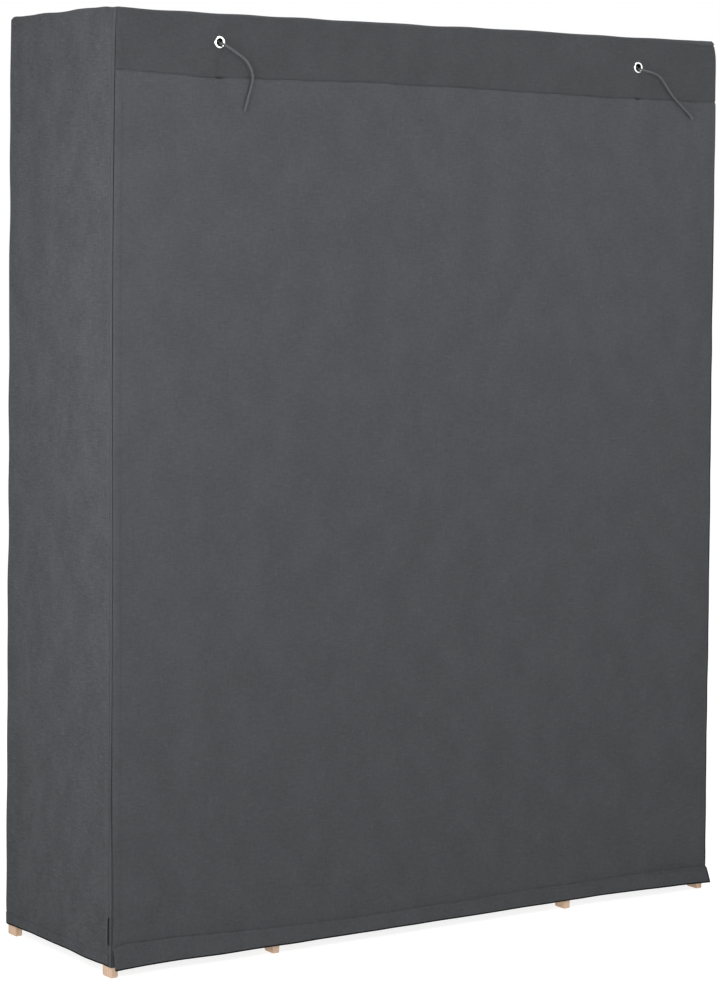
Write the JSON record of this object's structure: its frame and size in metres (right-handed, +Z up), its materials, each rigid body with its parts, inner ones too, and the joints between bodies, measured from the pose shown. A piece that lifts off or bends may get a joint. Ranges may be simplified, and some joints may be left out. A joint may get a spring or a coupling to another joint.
{
  "type": "fabric wardrobe",
  "caption": "Cloth-covered wardrobe on a pine ladder frame, with shelves at both sides, a hanging rod between, a folding front curtain and corded eyelets.",
  "frame": {"origin": "on the floor, under the middle of the box around the wardrobe without its cords", "axes": "+X to the right along the front, +Y from the front to the back, +Z up; the curtain faces -Y"},
  "size_m": [1.36, 0.41, 1.7],
  "materials": {
    "cover_cloth": "plain woven polycotton, matt, charcoal grey",
    "curtain_cloth": "plain woven polycotton, matt, charcoal grey",
    "shelf_cloth": "plain woven polycotton over thin board, matt, charcoal grey",
    "cord": "twisted cotton cord, charcoal grey",
    "pine": "planed, bare pine",
    "rod_wood": "turned, bare pine",
    "eyelet_metal": "bright nickel",
    "screw_steel": "zinc plated",
    "socket_plastic": "moulded"
  },
  "bodies": {
    "wardrobe": {"left_outer_front_post": "pine", "left_outer_rear_post": "pine", "left_inner_front_post": "pine", "left_inner_rear_post": "pine", "right_inner_front_post": "pine", "right_inner_rear_post": "pine", "right_outer_front_post": "pine", "right_outer_rear_post": "pine", "left_outer_cross_rails": "pine", "left_inner_cross_rails": "pine", "right_inner_cross_rails": "pine", "right_outer_cross_rails": "pine", "bottom_front_rails": "pine", "bottom_rear_rails": "pine", "top_front_rails": "pine", "top_rear_rails": "pine", "rail_dowels": "pine", "frame_screws": "screw_steel", "rail_bolts": "screw_steel", "batten_bolts": "screw_steel", "left_floor_shelf": "shelf_cloth", "left_lower_shelf": "shelf_cloth", "left_middle_shelf": "shelf_cloth", "left_upper_shelf": "shelf_cloth", "right_floor_shelf": "shelf_cloth", "right_lower_shelf": "shelf_cloth", "right_middle_shelf": "shelf_cloth", "right_upper_shelf": "shelf_cloth", "centre_floor_shelf": "shelf_cloth", "left_shelf_battens": "pine", "right_shelf_battens": "pine", "hanging_rod": "rod_wood", "rod_sockets": "socket_plastic", "cover_roof": "cover_cloth", "cover_back": "cover_cloth", "cover_left_side": "cover_cloth", "cover_right_side": "cover_cloth", "cover_valance": "cover_cloth", "curtain_head": "cover_cloth", "eyelets": "eyelet_metal", "eyelet_washers": "eyelet_metal", "left_pull_cord": "cord", "right_pull_cord": "cord", "left_cord_knot": "cord", "right_cord_knot": "cord"},
    "curtain_section_01": {"curtain_panel_01": "curtain_cloth"},
    "curtain_section_02": {"curtain_panel_02": "curtain_cloth"},
    "curtain_section_03": {"curtain_panel_03": "curtain_cloth"},
    "curtain_section_04": {"curtain_panel_04": "curtain_cloth"},
    "curtain_section_05": {"curtain_panel_05": "curtain_cloth"},
    "curtain_section_06": {"curtain_panel_06": "curtain_cloth"},
    "curtain_section_07": {"curtain_panel_07": "curtain_cloth"},
    "curtain_section_08": {"curtain_panel_08": "curtain_cloth"},
    "curtain_section_09": {"curtain_panel_09": "curtain_cloth"},
    "curtain_section_10": {"curtain_panel_10": "curtain_cloth"},
    "curtain_section_11": {"curtain_panel_11": "curtain_cloth"},
    "curtain_section_12": {"curtain_panel_12": "curtain_cloth"},
    "hem": {"hem_band": "curtain_cloth"}
  },
  "joints": [
    {"name": "curtain_fold", "type": "hinge", "parent": "wardrobe", "child": "curtain_section_01", "pos_m": [0, -0.19115, 1.51], "axis": [-1, 0, 0], "range_deg": [0, 88]},
    {"name": "curtain_fold_02", "type": "hinge", "parent": "curtain_section_01", "child": "curtain_section_02", "pos_m": [0, -0.18965, 1.38933], "axis": [-1, 0, 0], "range_deg": [-176, 0]},
    {"name": "curtain_fold_03", "type": "hinge", "parent": "curtain_section_02", "child": "curtain_section_03", "pos_m": [0, -0.19115, 1.26867], "axis": [-1, 0, 0], "range_deg": [0, 176]},
    {"name": "curtain_fold_04", "type": "hinge", "parent": "curtain_section_03", "child": "curtain_section_04", "pos_m": [0, -0.18965, 1.148], "axis": [-1, 0, 0], "range_deg": [-176, 0]},
    {"name": "curtain_fold_05", "type": "hinge", "parent": "curtain_section_04", "child": "curtain_section_05", "pos_m": [0, -0.19115, 1.02733], "axis": [-1, 0, 0], "range_deg": [0, 176]},
    {"name": "curtain_fold_06", "type": "hinge", "parent": "curtain_section_05", "child": "curtain_section_06", "pos_m": [0, -0.18965, 0.90667], "axis": [-1, 0, 0], "range_deg": [-176, 0]},
    {"name": "curtain_fold_07", "type": "hinge", "parent": "curtain_section_06", "child": "curtain_section_07", "pos_m": [0, -0.19115, 0.786], "axis": [-1, 0, 0], "range_deg": [0, 176]},
    {"name": "curtain_fold_08", "type": "hinge", "parent": "curtain_section_07", "child": "curtain_section_08", "pos_m": [0, -0.18965, 0.66533], "axis": [-1, 0, 0], "range_deg": [-176, 0]},
    {"name": "curtain_fold_09", "type": "hinge", "parent": "curtain_section_08", "child": "curtain_section_09", "pos_m": [0, -0.19115, 0.54467], "axis": [-1, 0, 0], "range_deg": [0, 176]},
    {"name": "curtain_fold_10", "type": "hinge", "parent": "curtain_section_09", "child": "curtain_section_10", "pos_m": [0, -0.18965, 0.424], "axis": [-1, 0, 0], "range_deg": [-176, 0]},
    {"name": "curtain_fold_11", "type": "hinge", "parent": "curtain_section_10", "child": "curtain_section_11", "pos_m": [0, -0.19115, 0.30333], "axis": [-1, 0, 0], "range_deg": [0, 176]},
    {"name": "curtain_fold_12", "type": "hinge", "parent": "curtain_section_11", "child": "curtain_section_12", "pos_m": [0, -0.18965, 0.18267], "axis": [-1, 0, 0], "range_deg": [-176, 0]},
    {"name": "hem_fold", "type": "hinge", "parent": "curtain_section_12", "child": "hem", "pos_m": [0, -0.19115, 0.062], "axis": [-1, 0, 0], "range_deg": [0, 88]}
  ],
  "couplings": [
    {"joint": "curtain_fold_02", "follows": "curtain_fold", "ratio": -2},
    {"joint": "curtain_fold_03", "follows": "curtain_fold", "ratio": 2},
    {"joint": "curtain_fold_04", "follows": "curtain_fold", "ratio": -2},
    {"joint": "curtain_fold_05", "follows": "curtain_fold", "ratio": 2},
    {"joint": "curtain_fold_06", "follows": "curtain_fold", "ratio": -2},
    {"joint": "curtain_fold_07", "follows": "curtain_fold", "ratio": 2},
    {"joint": "curtain_fold_08", "follows": "curtain_fold", "ratio": -2},
    {"joint": "curtain_fold_09", "follows": "curtain_fold", "ratio": 2},
    {"joint": "curtain_fold_10", "follows": "curtain_fold", "ratio": -2},
    {"joint": "curtain_fold_11", "follows": "curtain_fold", "ratio": 2},
    {"joint": "curtain_fold_12", "follows": "curtain_fold", "ratio": -2},
    {"joint": "hem_fold", "follows": "curtain_fold", "ratio": 1}
  ]
}
